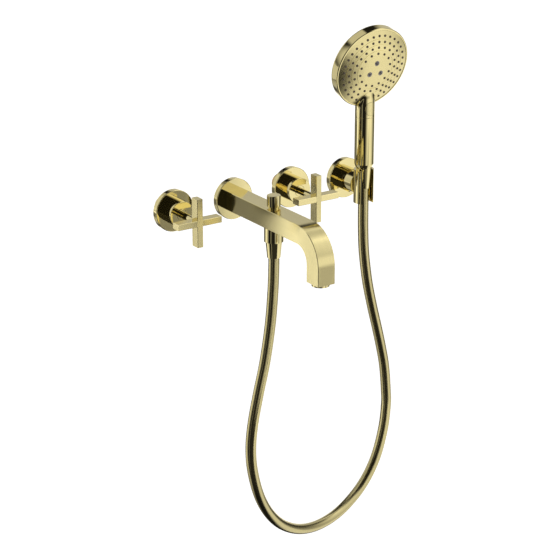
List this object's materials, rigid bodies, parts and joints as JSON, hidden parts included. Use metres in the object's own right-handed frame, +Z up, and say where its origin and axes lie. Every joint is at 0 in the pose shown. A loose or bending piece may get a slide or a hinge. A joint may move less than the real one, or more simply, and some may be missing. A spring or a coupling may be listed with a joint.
{
  "type": "wall mounted bath faucet",
  "caption": "Wall mounted bath faucet with cross handles, square bent spout with diverter knob, hose, hand shower and wall holder.",
  "frame": {"origin": "on the wall plane at the centre of the spout's wall thread", "axes": "+X to the right along the row of wall plates, +Y into the wall, +Z up; the spout points along -Y"},
  "size_m": [0.4059, 0.265, 0.7755],
  "materials": {
    "polished_gold": "polished pale gold plating",
    "satin_gold": "fine satin pale gold plating",
    "hose_gold": "smooth metallised hose, pale gold",
    "raw_brass": "machined, unplated",
    "steel": "machined stainless",
    "black_rubber": "matt",
    "grey_silicone": "matt silicone",
    "white_plastic": "moulded",
    "grey_plastic": "moulded",
    "disc_ceramic": "lapped ceramic"
  },
  "bodies": {
    "base": {"hot_plate": "polished_gold", "hot_sleeve": "polished_gold", "hot_stem_guide": "polished_gold", "hot_valve_body": "raw_brass", "hot_cartridge": "white_plastic", "hot_gland_nut": "raw_brass", "hot_fixed_disc": "disc_ceramic", "cold_plate": "polished_gold", "cold_sleeve": "polished_gold", "cold_stem_guide": "polished_gold", "cold_valve_body": "raw_brass", "cold_cartridge": "white_plastic", "cold_gland_nut": "raw_brass", "cold_fixed_disc": "disc_ceramic", "plate_seals": "black_rubber", "spout_plate": "polished_gold", "spout_nipple": "raw_brass", "spout_body": "satin_gold", "spout_grub_screw": "steel", "diverter_bush": "polished_gold", "diverter_spring": "steel", "hose_outlet": "polished_gold", "aerator_housing": "polished_gold", "aerator_insert": "grey_plastic", "aerator_seal": "black_rubber", "holder_plate": "polished_gold", "holder_bracket": "steel", "holder_screws": "steel", "holder_post": "polished_gold", "holder_grub_screw": "steel", "holder_cradle": "polished_gold", "shower_hose": "hose_gold", "hose_spout_nut": "polished_gold", "hose_spout_washer": "black_rubber"},
    "hot_handle": {"hot_moving_disc": "disc_ceramic", "hot_spindle": "steel", "hot_handle_stem": "polished_gold", "hot_cross_handle": "satin_gold", "hot_grub_screw": "steel"},
    "cold_handle": {"cold_moving_disc": "disc_ceramic", "cold_spindle": "steel", "cold_handle_stem": "polished_gold", "cold_cross_handle": "satin_gold", "cold_grub_screw": "steel"},
    "diverter": {"diverter_knob": "polished_gold", "diverter_rod": "steel", "diverter_disc": "black_rubber"},
    "hose_end": {"hose_shower_nut": "polished_gold", "hose_shower_washer": "black_rubber"},
    "hand_shower": {"shower_connector": "raw_brass", "shower_grip": "polished_gold", "water_tube": "white_plastic", "shower_head": "polished_gold", "selector_body": "white_plastic", "spray_face": "satin_gold", "spray_centre": "satin_gold", "nozzle_mat": "grey_silicone", "jet_nozzles": "grey_silicone", "button_spring": "steel"},
    "button": {"select_button": "satin_gold"}
  },
  "joints": [
    {"name": "hot_handle_turn", "type": "hinge", "parent": "base", "child": "hot_handle", "pos_m": [-0.1, 0, 0], "axis": [0, -1, 0], "range_deg": [0, 90]},
    {"name": "cold_handle_turn", "type": "hinge", "parent": "base", "child": "cold_handle", "pos_m": [0.1, 0, 0], "axis": [0, -1, 0], "range_deg": [-90, 0]},
    {"name": "diverter_pull", "type": "slide", "parent": "base", "child": "diverter", "axis": [0, 0, 1], "range_m": [0, 0.008], "stiffness_N_per_m": 150, "springref_m": -0.01, "deforming": ["diverter_spring"]},
    {"name": "shower_lift", "type": "slide", "parent": "base", "child": "hose_end", "axis": [0, 0, 1], "range_m": [0, 0.04]},
    {"name": "shower_turn", "type": "hinge", "parent": "hose_end", "child": "hand_shower", "pos_m": [0.198, -0.052, 0], "axis": [0, 0, 1], "range_deg": [-45, 45]},
    {"name": "select_press", "type": "slide", "parent": "hand_shower", "child": "button", "axis": [0, 1, 0], "range_m": [0, 0.002], "stiffness_N_per_m": 600, "springref_m": -0.003, "deforming": ["button_spring"]}
  ]
}
